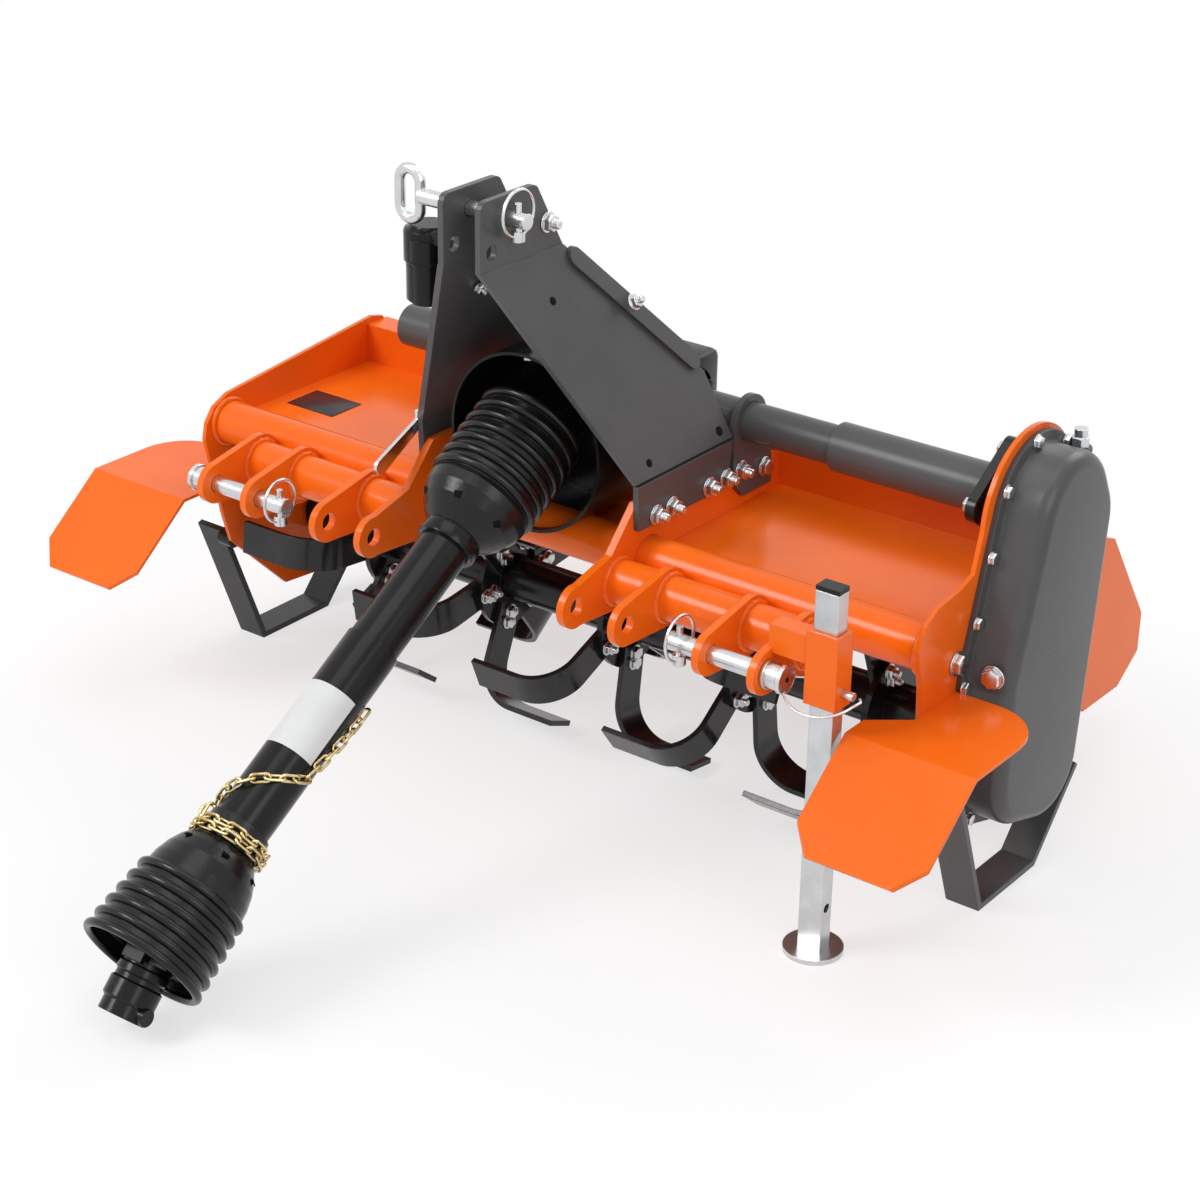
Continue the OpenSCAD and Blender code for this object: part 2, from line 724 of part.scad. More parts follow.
inner_start = 138;
inner_end = 470;
outer_start = 310;
outer_end = 604;
outer_t = 2;
inner_t = 5;
rib_r = 5.2;
rib_step = 17.5;

module implement_cross() color(zinc) place() translate([0, cross_y, input_z]) cross_pins();

module guard_cone() color(black) on_shaft() turned() {
  // bellows
  polygon([[60, -34], [64, -34], [64, 84], [60, 84]]);
  for (k = [0:6]) translate([65.2, -28 + k * rib_step]) circle(rib_r, $fn = 16);
  // round bell and collar
  polygon([[64, 84], [66, 90], [64, 103], [57, 118], [47, 131], [38, 139], [36, 141], [36, 160],
    [guard_r + seat_gap, 160], [guard_r + seat_gap, inner_start], [42, 128], [52, 115], [59, 101],
        [60, 84]]);
}

module inner_guard() color(black) on_shaft() {
  turned() polygon([[guard_r, inner_start], [guard_r, inner_end], [guard_r - inner_t, inner_end],
      [guard_r - inner_t, inner_start]]);
  mirror([0, 1, 0]) fork(guard_r - inner_t, inner_start + 20 - fork_back);
}

module outer_guard() color(black) on_shaft() turned()
  polygon([[outer_guard_r, outer_start], [outer_guard_r, outer_end], [outer_guard_r - outer_t, outer_end],
    [outer_guard_r - outer_t, outer_start]]);

module tractor_bell() color(black) on_shaft() {
  neck_r = outer_guard_r + seat_gap;
  turned() {
    // collar and round bell
    polygon([[37, 570], [37, 600], [42, 604], [50, 616], [56, 629], [60.5, 645], [62, 658], [58,
        658], [56.5, 645],
      [52, 629], [46, 616], [38, 606], [neck_r, 600], [neck_r, 570]]);
    // bellows that widen towards the rim
    polygon([[58, 658], [62, 658], [71, 756], [67, 756]]);
    for (k = [0:5]) translate([63.4 + 1.5 * k, 665 + k * rib_step]) circle(rib_r, $fn = 16);
  }
  translate([0, -shaft_l, 0]) fork(outer_guard_r - outer_t - seat_gap, shaft_l - fork_back - 575);
}

chain_r = 3.2;
chain_s = 592;
wrap_r = 37 + seat_gap + chain_r;
strand_r = outer_guard_r + chain_r + 1.2;
strand_n = 8;
link_gap = 0.02;

function on_guard(s, a) = [strand_r * cos(a), -s, strand_r * sin(a)];
function strand_at(k) = on_guard(560 - k * 14, 172 - k * 24);

// A straight rod from near one point to near another
module rod(a, b, r) {
  d = (b - a) * (1 - 2 * link_gap);
  translate(a + link_gap * (b - a)) rotate([0, acos(d[2] / norm(d)), atan2(d[1], d[0])])
      cylinder(r = r, h = norm(d));
}

module safety_chain() color(brass) on_shaft() {
  turned() translate([wrap_r, chain_s]) circle(chain_r);
  for (k = [0:2:strand_n]) rod(strand_at(k), strand_at(k + 1), chain_r);
  rod(strand_at(strand_n + 2), on_guard(370, -92), chain_r);
}

module tractor_cross() color(zinc) on_shaft() translate([0, -shaft_l, 0])
    rotate([yoke_drop - shaft_drop, 0, 0]) cross_pins();

lock_r = 10;

module tractor_yoke() color(black) on_shaft() translate([0, -shaft_l, 0])
    rotate([yoke_drop - shaft_drop, 0, 0]) difference() {
  union() {
    rotate([0, 90, 0]) mirror([0, 1, 0]) fork(yoke_r, yoke_l - fork_back);
    // side boss of the quick lock
    translate([0, -yoke_l + lock_r + 1, 0]) rotate([0, 90, 0]) cylinder(r = lock_r, h = yoke_r + 7);
  }
  rotate([90, 0, 0]) translate([0, 0, 44]) cylinder(r = spline_r, h = 100);
}

deck();
front_tube();
side_plate_left();
side_plate_right();
hitch_left();
hitch_right();
long_plate_left();
long_plate_right();
lower_pin_left();
lower_pin_right();
linch_pins();
mast_left();
mast_right();
mast_brace();
top_pin();
manual_canister();
shaft_hook();
gearbox();
input_shaft();
pto_shield();
axle_tube();
axle_stub();
axle_bracket();
chain_case();
oil_plug();
rotor_bearing();
flap_left();
flap_right();
skid_left();
skid_right();
stand_socket();
stand_pin();
tailgate_rod();
rotor_tube();
tines();
tailgate();
stand_leg();
stand_foot();
stand_cap();
implement_cross();
guard_cone();
inner_guard();
outer_guard();
tractor_bell();
safety_chain();
tractor_cross();
tractor_yoke();
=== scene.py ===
import json
import math
import bpy
import bmesh
from mathutils import Matrix, Vector


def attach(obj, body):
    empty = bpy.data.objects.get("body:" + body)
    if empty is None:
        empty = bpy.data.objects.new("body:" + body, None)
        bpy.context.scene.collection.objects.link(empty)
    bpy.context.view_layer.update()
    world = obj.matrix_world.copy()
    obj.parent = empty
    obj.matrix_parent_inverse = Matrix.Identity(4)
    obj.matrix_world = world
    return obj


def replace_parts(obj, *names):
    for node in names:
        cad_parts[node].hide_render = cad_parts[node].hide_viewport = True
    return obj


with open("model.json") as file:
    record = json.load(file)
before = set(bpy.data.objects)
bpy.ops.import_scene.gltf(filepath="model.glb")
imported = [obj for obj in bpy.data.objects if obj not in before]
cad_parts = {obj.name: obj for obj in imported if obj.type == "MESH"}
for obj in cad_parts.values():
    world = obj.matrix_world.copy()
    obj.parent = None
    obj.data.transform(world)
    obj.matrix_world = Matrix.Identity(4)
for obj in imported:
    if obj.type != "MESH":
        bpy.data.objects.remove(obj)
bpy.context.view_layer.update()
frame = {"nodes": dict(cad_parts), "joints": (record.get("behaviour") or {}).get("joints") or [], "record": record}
nodes = frame["nodes"]
joints = {j["name"]: j for j in frame["joints"]}
rotorY = joints["rotor_spin"]["pos_m"][1]
scene = bpy.context.scene
print("frame:", len(nodes), "nodes")

# line of the driveline at rest, in degrees and millimetres
shaft = {"drop": 31.5, "crossY": -205, "crossZ": 469, "yokeDrop": 46}


def at(x, y, z):
    return Vector((x / 1000, y / 1000 + rotorY, z / 1000))  # millimetres, y from the rotor axis


def onShaft(s, r, a):
    drop = math.radians(shaft["drop"])
    x, up = r * math.cos(math.radians(a)), r * math.sin(math.radians(a))
    y = shaft["crossY"] - s * math.cos(drop) - up * math.sin(drop)
    z = shaft["crossZ"] - s * math.sin(drop) + up * math.cos(drop)
    return at(x, y, z)


def turns(count, offset=0):
    return [2 * math.pi * (k + offset) / count for k in range(count)]


def metres(profile):
    return [(r / 1000, z / 1000) for r, z in profile]


# camera
view = {"place": (1866.1, -2515.5, 1686.7), "azimuth": 37.02, "elevation": 25.53, "roll": 0.83,
        "lens": 81.38, "sensor": 36, "far": 60}
az, el, roll = (math.radians(view[k]) for k in ("azimuth", "elevation", "roll"))
back = Vector((math.sin(az) * math.cos(el), -math.cos(az) * math.cos(el), math.sin(el)))
right = (-back).cross(Vector((0, 0, 1))).normalized()
up = right.cross(-back)
right, up = (right * math.cos(roll) + up * math.sin(roll),
             up * math.cos(roll) - right * math.sin(roll))
camera = bpy.data.objects.new("camera", bpy.data.cameras.new("camera"))
camera.data.lens = view["lens"]
camera.data.sensor_width = view["sensor"]
camera.data.clip_end = view["far"]
facing = Matrix((right, up, back)).transposed().to_4x4()
camera.matrix_world = Matrix.Translation(at(*view["place"])) @ facing
scene.collection.objects.link(camera)
scene.camera = camera
scene.view_settings.view_transform = "Standard"
print("camera done")


# shader group
def shaderGroup(name, inputs, outputs):
    tree = bpy.data.node_groups.new(name, "ShaderNodeTree")
    new = tree.interface.new_socket
    for label, default in inputs.items():
        new(label, in_out="INPUT", socket_type="NodeSocketFloat").default_value = default
    for label, kind in outputs.items():
        new(label, in_out="OUTPUT", socket_type=kind)
    return tree, tree.nodes.new("NodeGroupInput"), tree.nodes.new("NodeGroupOutput")


def noiseNode(tree, detail, rough):
    node = tree.nodes.new("ShaderNodeTexNoise")
    node.inputs["Detail"].default_value = detail
    node.inputs["Roughness"].default_value = rough
    return node


grainValues = {
    "inputs": {"Scale": 500, "Depth": 0.0001, "Edge": 0.001, "Patch": 6},
    "outputs": {"Normal": "NodeSocketVector", "Grain": "NodeSocketFloat", "Patch": "NodeSocketFloat"},
    "fine": (3, 0.5), "broad": (4, 0.6), "bevelSamples": 4,
    "toneFrom": (0.35, 0.65), "roughFrom": (0.3, 0.7)}


def buildGrain():
    tree, into, out = shaderGroup("surfaceGrain", grainValues["inputs"], grainValues["outputs"])
    link = tree.links.new
    coord = tree.nodes.new("ShaderNodeTexCoord")
    fine, broad = noiseNode(tree, *grainValues["fine"]), noiseNode(tree, *grainValues["broad"])
    bevel, bump = tree.nodes.new("ShaderNodeBevel"), tree.nodes.new("ShaderNodeBump")
    bevel.samples = grainValues["bevelSamples"]
    for node, label in ((fine, "Scale"), (broad, "Patch")):
        link(coord.outputs["Object"], node.inputs["Vector"])
        link(into.outputs[label], node.inputs["Scale"])
    link(into.outputs["Edge"], bevel.inputs["Radius"])
    link(into.outputs["Depth"], bump.inputs["Distance"])
    link(fine.outputs["Fac"], bump.inputs["Height"])
    link(bevel.outputs["Normal"], bump.inputs["Normal"])
    link(bump.outputs["Normal"], out.inputs["Normal"])
    link(fine.outputs["Fac"], out.inputs["Grain"])
    link(broad.outputs["Fac"], out.inputs["Patch"])
    return tree


grain = buildGrain()


def mapRange(tree, numbers):
    node = tree.nodes.new("ShaderNodeMapRange")
    for label, number in zip(("From Min", "From Max", "To Min", "To Max"), numbers):
        node.inputs[label].default_value = number
    return node


def finishOf(name, values):
    mat = bpy.data.materials.new(name)
    mat.use_nodes = True
    tree = mat.node_tree
    link = tree.links.new
    shader = tree.nodes["Principled BSDF"]
    group = tree.nodes.new("ShaderNodeGroup")
    group.node_tree = grain
    for label in grainValues["inputs"]:
        group.inputs[label].default_value = values[label.lower()]
    tone = tree.nodes.new("ShaderNodeMix")
    tone.data_type = "RGBA"
    tone.inputs["A"].default_value = (*values["low"], 1)
    tone.inputs["B"].default_value = (*values["high"], 1)
    spread = mapRange(tree, grainValues["toneFrom"])
    rough = mapRange(tree, (*grainValues["roughFrom"], *values["rough"]))
    link(group.outputs["Patch"], spread.inputs["Value"])
    link(spread.outputs["Result"], tone.inputs["Factor"])
    link(tone.outputs["Result"], shader.inputs["Base Color"])
    link(group.outputs["Grain"], rough.inputs["Value"])
    link(rough.outputs["Result"], shader.inputs["Roughness"])
    link(group.outputs["Normal"], shader.inputs["Normal"])
    shader.inputs["Metallic"].default_value = values.get("metal", 0)
    shader.inputs["Specular IOR Level"].default_value = values.get("specular", 0.5)
    return mat


# lengths in metres: depth of the bump and radius of the softened edges
finishes = {
    "orangePaint": {"low": (0.86, 0.136, 0.006), "high": (0.92, 0.154, 0.008), "rough": (0.17, 0.23),
                    "scale": 420, "depth": 0.000016, "edge": 0.0016, "patch": 5, "specular": 0.26},
    "greyPaint": {"low": (0.072, 0.072, 0.073), "high": (0.086, 0.086, 0.087), "rough": (0.27, 0.34),
                  "scale": 420, "depth": 0.000016, "edge": 0.0016, "patch": 7, "specular": 0.28},
    "blackPaint": {"low": (0.007, 0.007, 0.0075), "high": (0.012, 0.012, 0.0125), "rough": (0.16, 0.26),
                   "scale": 480, "depth": 0.00002, "edge": 0.0016, "patch": 9, "specular": 0.3},
    "tinePaint": {"low": (0.008, 0.008, 0.0085), "high": (0.02, 0.02, 0.021), "rough": (0.15, 0.26),
                  "scale": 300, "depth": 0.00003, "edge": 0.0016, "patch": 14, "specular": 0.4},
    "blackPlastic": {"low": (0.006, 0.006, 0.0065), "high": (0.01, 0.01, 0.0105), "rough": (0.14, 0.22),
                     "scale": 900, "depth": 0.00005, "edge": 0.0012, "patch": 12, "specular": 0.22},
    "bellPlastic": {"low": (0.005, 0.005, 0.0054), "high": (0.009, 0.009, 0.0095), "rough": (0.13, 0.28),
                    "scale": 620, "depth": 0.0002, "edge": 0.001, "patch": 14, "specular": 0.3},
    "castPaint": {"low": (0.006, 0.006, 0.0065), "high": (0.012, 0.012, 0.0125), "rough": (0.2, 0.34),
                  "scale": 260, "depth": 0.00012, "edge": 0.004, "patch": 10, "specular": 0.3},
    "zinc": {"low": (0.6, 0.61, 0.62), "high": (0.68, 0.69, 0.7), "rough": (0.22, 0.28),
             "scale": 320, "depth": 0.000006, "edge": 0.0012, "patch": 30, "metal": 1},
    "galvanised": {"low": (0.56, 0.57, 0.58), "high": (0.66, 0.67, 0.68), "rough": (0.28, 0.34),
                   "scale": 130, "depth": 0.000008, "edge": 0.0016, "patch": 30, "metal": 1},
    "yellowZinc": {"low": (0.5, 0.36, 0.14), "high": (0.78, 0.66, 0.38), "rough": (0.2, 0.36),
                   "scale": 380, "depth": 0.00005, "edge": 0.0006, "patch": 60, "metal": 1},
    "labelWhite": {"low": (0.66, 0.66, 0.65), "high": (0.72, 0.72, 0.71), "rough": (0.26, 0.36),
                   "scale": 700, "depth": 0.00003, "edge": 0.0004, "patch": 14, "specular": 0.3},
    "plateBlank": {"low": (0.03, 0.03, 0.032), "high": (0.05, 0.05, 0.053), "rough": (0.26, 0.4),
                   "scale": 300, "depth": 0.00004, "edge": 0.0006, "patch": 20, "metal": 0.6},
    # painted shade: a flat near-black that stands in for the shadow inside holes and openings
    "paintedHoleShade": {"low": (0.003, 0.003, 0.003), "high": (0.006, 0.006, 0.006), "rough": (0.7, 0.9),
                 "scale": 300, "depth": 0.00005, "edge": 0.0005, "patch": 20, "specular": 0.1},
}
mats = {name: finishOf(name, values) for name, values in finishes.items()}

slotFinish = {"orange_paint": "orangePaint", "grey_paint": "greyPaint", "black_paint": "blackPaint",
              "black_plastic": "blackPlastic", "cast": "castPaint", "zinc": "zinc",
              "chain_brass": "yellowZinc"}
nodeFinish = {"stand_leg": "galvanised", "stand_foot": "galvanised", "guard_cone": "bellPlastic",
              "tractor_bell": "bellPlastic", "tractor_yoke": "blackPlastic", "tines": "tinePaint"}
for part in frame["record"]["subparts"]:
    node = nodes[part["node"]]
    node.data.materials.clear()
    node.data.materials.append(mats[nodeFinish.get(part["node"], slotFinish[part["material_slot"]])])
print("materials:", len(mats))

# mesh helpers
edgeAngle = {"plain": 35, "case": 30, "round": 60}
softEdge = {"segments": 2, "affect": "EDGES", "profile": 0.5}


def meshFrom(bm, name):
    mesh = bpy.data.meshes.new(name)
    bmesh.ops.recalc_face_normals(bm, faces=bm.faces)
    bm.to_mesh(mesh)
    bm.free()
    return mesh


def newPiece(name, bm, finish, body, smooth=edgeAngle["plain"]):
    mesh = meshFrom(bm, name)
    obj = bpy.data.objects.new(name, mesh)
    scene.collection.objects.link(obj)
    if finish:
        mesh.materials.append(mats[finish])
    mesh.shade_smooth()
    mesh.set_sharp_from_angle(angle=math.radians(smooth))
    if body:
        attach(obj, body)
    return obj


def joinRings(bm, a, b):
    count = len(a)
    for i in range(count):
        j = (i + 1) % count
        bm.faces.new((a[i], a[j], b[j], b[i]))


def lathe(bm, profile, steps, place=Matrix()):
    rings = [[bm.verts.new(place @ Vector((r * math.cos(t), r * math.sin(t), z))) for t in turns(steps)]
             for r, z in profile]
    for a, b in zip(rings, rings[1:] + rings[:1]):
        joinRings(bm, a, b)


def sweep(bm, path, radius, sides, loop=False):
    count = len(path)
    normal = None
    rings = []
    for i, p in enumerate(path):
        ahead = path[(i + 1) % count] if loop else path[min(i + 1, count - 1)]
        behind = path[i - 1] if loop or i else path[0]
        t = (ahead - behind).normalized()
        if normal is None:
            normal = t.orthogonal().normalized()
        normal = (normal - t * normal.dot(t)).normalized()
        side = t.cross(normal)
        rings.append([bm.verts.new(p + radius * (math.cos(a) * normal + math.sin(a) * side))
                      for a in turns(sides)])
    for a, b in zip(rings, rings[1:]):
        joinRings(bm, a, b)
    if loop:
        a, b = rings[-1], rings[0]
        first = min(range(sides), key=lambda n: (a[0].co - b[n].co).length)
        joinRings(bm, a, b[first:] + b[:first])
    else:
        bm.faces.new(rings[0])
        bm.faces.new(rings[-1])


def aim(point, axis):
    return Matrix.Translation(point) @ Vector(axis).to_track_quat("Z", "Y").to_matrix().to_4x4()


def box(bm, low, high, place=Matrix(), soft=0.0):
    made = bmesh.ops.create_cube(bm, size=1)["verts"]
    low, high = Vector(low), Vector(high)
    for v in made:
        v.co = Vector((low[k] + (v.co[k] + 0.5) * (high[k] - low[k]) for k in range(3)))
    if soft:
        edges = list(dict.fromkeys(e for v in made for e in v.link_edges))
        made = bmesh.ops.bevel(bm, geom=edges, offset=soft, **softEdge)["verts"]
    bmesh.ops.transform(bm, matrix=place, verts=list(dict.fromkeys(made)))


# one geometry group places every small piece that repeats
def buildScatter():
    tree = bpy.data.node_groups.new("scatter", "GeometryNodeTree")
    new = tree.interface.new_socket
    new("Geometry", in_out="INPUT", socket_type="NodeSocketGeometry")
    new("Piece", in_out="INPUT", socket_type="NodeSocketObject")
    new("Finish", in_out="INPUT", socket_type="NodeSocketMaterial")
    new("Geometry", in_out="OUTPUT", socket_type="NodeSocketGeometry")
    add = tree.nodes.new
    into, out, info = add("NodeGroupInput"), add("NodeGroupOutput"), add("GeometryNodeObjectInfo")
    turn, size = add("GeometryNodeInputNamedAttribute"), add("GeometryNodeInputNamedAttribute")
    turn.data_type, size.data_type = "FLOAT_VECTOR", "FLOAT"
    turn.inputs["Name"].default_value, size.inputs["Name"].default_value = "turn", "size"
    euler, place = add("FunctionNodeEulerToRotation"), add("GeometryNodeInstanceOnPoints")
    real, paint = add("GeometryNodeRealizeInstances"), add("GeometryNodeSetMaterial")
    link = tree.links.new
    link(into.outputs["Geometry"], place.inputs["Points"])
    link(into.outputs["Piece"], info.inputs["Object"])
    link(info.outputs["Geometry"], place.inputs["Instance"])
    link(turn.outputs["Attribute"], euler.inputs[0])
    link(euler.outputs[0], place.inputs["Rotation"])
    link(size.outputs["Attribute"], place.inputs["Scale"])
    link(place.outputs["Instances"], real.inputs["Geometry"])
    link(real.outputs["Geometry"], paint.inputs["Geometry"])
    link(into.outputs["Finish"], paint.inputs["Material"])
    link(paint.outputs["Geometry"], out.inputs["Geometry"])
    return tree


scatterTree = buildScatter()
scatterInputs = {s.name: s.identifier for s in scatterTree.interface.items_tree if s.in_out == "INPUT"}


def scatter(name, template, spots, finish, body):
    host = bpy.data.meshes.new(name)
    host.from_pydata([m.translation for m, _ in spots], [], [])
    host.attributes.new("turn", "FLOAT_VECTOR", "POINT")
    host.attributes.new("size", "FLOAT", "POINT")
    for i, (m, scale) in enumerate(spots):
        host.attributes["turn"].data[i].vector = m.to_euler()
        host.attributes["size"].data[i].value = scale
    obj = bpy.data.objects.new(name, host)
    scene.collection.objects.link(obj)
    modifier = obj.modifiers.new("scatter", "NODES")
    modifier.node_group = scatterTree
    modifier[scatterInputs["Piece"]] = template
    modifier[scatterInputs["Finish"]] = mats[finish]
    mesh = bpy.data.meshes.new_from_object(obj.evaluated_get(bpy.context.evaluated_depsgraph_get()))
    obj.modifiers.clear()
    obj.data = mesh
    for label in ("turn", "size"):
        if label in mesh.attributes:
            mesh.attributes.remove(mesh.attributes[label])
    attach(obj, body)
    return obj


templates = []


def template(name, bm, smooth=edgeAngle["plain"]):
    obj = newPiece(name, bm, None, None, smooth)
    templates.append(obj)
    return obj


def millimetreTemplate(name, bm, smooth=edgeAngle["plain"]):
    for v in bm.verts:
        v.co /= 1000
    return template(name, bm, smooth)


# bolts, with sizes in thread diameters
boltForm = {"washer": [(0.3, 0), (1.12, 0), (1.15, 0.04), (1.15, 0.14), (1.1, 0.18), (0.3, 0.18)],
            "hexR": 0.95, "foot": 0.17, "head": 0.82, "nut": 0.95, "bevel": 0.1,
            "core": 0.05, "threadFoot": 0.9, "crest": (0.5, 0.92), "root": (0.44, 1.0), "pitch": 0.16,
            "threads": 5, "tip": (0.4, 1.7), "washerSteps": 24, "threadSteps": 16}


def hexPrism(bm, radius, z0, z1):
    made = bmesh.ops.create_cone(bm, segments=6, radius1=radius, radius2=radius, depth=z1 - z0,
                                 cap_ends=True)["verts"]
    middle = (z0 + z1) / 2
    bmesh.ops.translate(bm, vec=(0, 0, middle), verts=made)
    edges = dict.fromkeys(e for v in made for e in v.link_edges)
    top = [e for e in edges if all(w.co.z > middle for w in e.verts)]
    bmesh.ops.bevel(bm, geom=top, offset=boltForm["bevel"] * radius, **softEdge)


def onWasher(top):
    bm = bmesh.new()
    lathe(bm, boltForm["washer"], boltForm["washerSteps"])
    hexPrism(bm, boltForm["hexR"], boltForm["foot"], top)
    return bm


def nutBolt():
    bm = onWasher(boltForm["nut"])
    core, (tipR, tipZ) = boltForm["core"], boltForm["tip"]
    profile = [(core, boltForm["threadFoot"])]
    for i in range(boltForm["threads"]):
        profile += [(r, z + boltForm["pitch"] * i) for r, z in (boltForm["crest"], boltForm["root"])]
    lathe(bm, profile + [(tipR, tipZ), (core, tipZ)], boltForm["threadSteps"])
    return template("nutBolt", bm)


headTemplate = template("headBolt", onWasher(boltForm["head"]))
nutTemplate = nutBolt()


def bolt(x, y, z, axis, size):
    return aim(at(x, y, z), axis), size / 1000


# bolts of the frame; the lone ones have place, axis and size
mast = {"lean": (258, 137), "footX": 160, "foldZ": 456, "lift": 8.1, "disc": (-0.5, 0.2),
        "holes": [(-215, 661, 5), (-161, 471, 5), (-22, 468, 6)]}
footBolts = {"outerX": 168.2, "innerX": 149.8, "size": 11,
             "outer": [(-158, 411), (-127, 411), (-51, 411), (-16, 411)],
             "inner": [(-127, 411), (-51, 411)]}
strapBolt = {"x": 88.5, "y": -101, "z": 640, "size": 9}
loneNuts = {"mastTop": (31.2, -192, 747, (1, 0, 0), 11),
            "canister": (-50, -215, 659, (0.88, 0, -0.47), 8),
            "axleBracket": (168.6, 15, 411, (1, 0, 0), 11)}
loneHeads = {"mastTop": (-31.2, -192, 747, (-1, 0, 0), 11),
             "axleBracket": (168.6, 66, 400, (1, 0, 0), 11),
             "shaftHook": (-173.6, -166, 455, (-1, 0, 0), 11)}
frontHeads = {"rightPlate": (551.2, -108, 318, (1, 0, 0), 13),
              "shieldClip": (-2, -184, 577.7, (0, 0, -1), 8),
              "rightFlap": (590, -90, 306, (0, -1, 0), 12.5)}
skidBolts = {"x": 573, "size": 11, "rows": [(122, 98, (0, -0.74, 0.67)), (-146, 172, (0, 0.93, 0.36))]}
nuts, heads = [], []
for side in (-1, 1):
    for y, z in footBolts["outer"]:
        nuts.append(bolt(side * footBolts["outerX"], y, z, (side, 0, 0), footBolts["size"]))
    nx, nz = (c / math.hypot(*mast["lean"]) for c in mast["lean"])
    nuts.append(bolt(side * strapBolt["x"], strapBolt["y"], strapBolt["z"], (side * nx, 0, nz),
                     strapBolt["size"]))
    for y, z in footBolts["inner"]:
        heads.append(bolt(side * footBolts["innerX"], y, z, (-side, 0, 0), footBolts["size"]))
nuts += [bolt(*values) for values in loneNuts.values()]
heads += [bolt(*values) for values in loneHeads.values()]


def hullOf(circles, grow, steps=96):
    points = sorted({(round(y + (r + grow) * math.cos(t), 4), round(z + (r + grow) * math.sin(t), 4))
                     for y, z, r in circles for t in turns(steps)})
    chain = []
    for run in (points, points[::-1]):
        start = len(chain)
        for p in run:
            while len(chain) - start >= 2:
                (y0, z0), (y1, z1) = chain[-2:]
                if (y1 - y0) * (p[1] - z0) - (z1 - z0) * (p[0] - y0) > 0:
                    break
                chain.pop()
            chain.append(p)
        chain.pop()
    return chain


def walk(path, step):
    found, left = [], 0.0
    for a, b in zip(path, path[1:]):
        length = (b - a).length
        while left < length:
            found.append((a + (b - a) * left / length, (b - a).normalized()))
            left += step
        left -= length
    return found


# chain case: rounds of its outline, and sections from the plate outward
case = {"rounds": [(40, 460, 78), (62, 440, 68), (-20, 285, 70), (-20, 165, 70), (30, 150, 70)],
        "plateX": 551, "wall": 61.8, "fillet": 17, "filletSteps": 8, "steps": 240,
        "lip": [(13.9, 0.1), (13.9, 6.4), (13.1, 7), (3, 7), (0.9, 7.9), (0, 10)],
        "boltX": 558.2, "boltGrow": 8, "boltStep": 76, "boltSize": 8,
        "neck": (575, 100, 507.4), "neckSteps": 40,
        "neckProfile": [(11.5, -30), (11.5, 6), (14.5, 7), (14.5, 12.5), (13.8, 13.5), (8, 13.5)]}
rim = [Vector(p) for p in hullOf(case["rounds"], case["boltGrow"])]
for p, _ in walk(rim + rim[:1], case["boltStep"]):
    heads.append(bolt(case["boltX"], p[0], p[1], (1, 0, 0), case["boltSize"]))


def caseRing(bm, grow, x):
    ring = []
    for t in turns(case["steps"]):
        c, d = math.cos(t), math.sin(t)
        y, z, r = max(case["rounds"], key=lambda o: o[0] * c + o[1] * d + o[2])
        ring.append(bm.verts.new(at(x, y + (r + grow) * c, z + (r + grow) * d)))
    return ring


def caseShell():
    bm = bmesh.new()
    wall, fillet = case["wall"], case["fillet"]
    profile = list(case["lip"])
    for k in range(case["filletSteps"] + 1):
        t = math.pi / 2 * k / case["filletSteps"]
        profile.append((-fillet * (1 - math.cos(t)), wall - fillet + fillet * math.sin(t)))
    rings = [caseRing(bm, grow, case["plateX"] + x) for grow, x in profile]
    for low, high in zip(rings, rings[1:]):
        joinRings(bm, low, high)
    bm.faces.new(rings[0][::-1])
    bm.faces.new(rings[-1])
    lathe(bm, metres(case["neckProfile"]), case["neckSteps"], Matrix.Translation(at(*case["neck"])))
    return newPiece("caseShell", bm, "greyPaint", "frame", edgeAngle["case"])


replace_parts(caseShell(), "chain_case")
heads += [bolt(*values) for values in frontHeads.values()]
for side in (-1, 1):
    for y, z, axis in skidBolts["rows"]:
        heads.append(bolt(side * skidBolts["x"], y, z, axis, skidBolts["size"]))
scatter("frameNuts", nutTemplate, nuts, "zinc", "frame")
scatter("frameBolts", headTemplate, heads, "zinc", "frame")

gearBolts = {"x": 79.2, "y": 34, "z": 469, "ring": 40, "count": 8, "size": 6,
             "lidZ": 533.2, "lid": [(-40, 14), (40, 14), (-40, 54), (40, 54)], "lidSize": 8}
bearingBolts = {"x": -557.7, "z": 175, "ring": 30, "count": 6, "size": 7}
blackHeads = []
for t in turns(gearBolts["count"], 0.5):
    y, z = gearBolts["y"] + gearBolts["ring"] * math.cos(t), gearBolts["z"] + gearBolts["ring"] * math.sin(t)
    for side in (-1, 1):
        blackHeads.append(bolt(side * gearBolts["x"], y, z, (side, 0, 0), gearBolts["size"]))
for t in turns(bearingBolts["count"]):
    y, z = bearingBolts["ring"] * math.cos(t), bearingBolts["z"] + bearingBolts["ring"] * math.sin(t)
    blackHeads.append(bolt(bearingBolts["x"], y, z, (-1, 0, 0), bearingBolts["size"]))
for x, y in gearBolts["lid"]:
    blackHeads.append(bolt(x, y, gearBolts["lidZ"], (0, 0, 1), gearBolts["lidSize"]))
scatter("frameBlackBolts", headTemplate, blackHeads, "blackPaint", "frame")

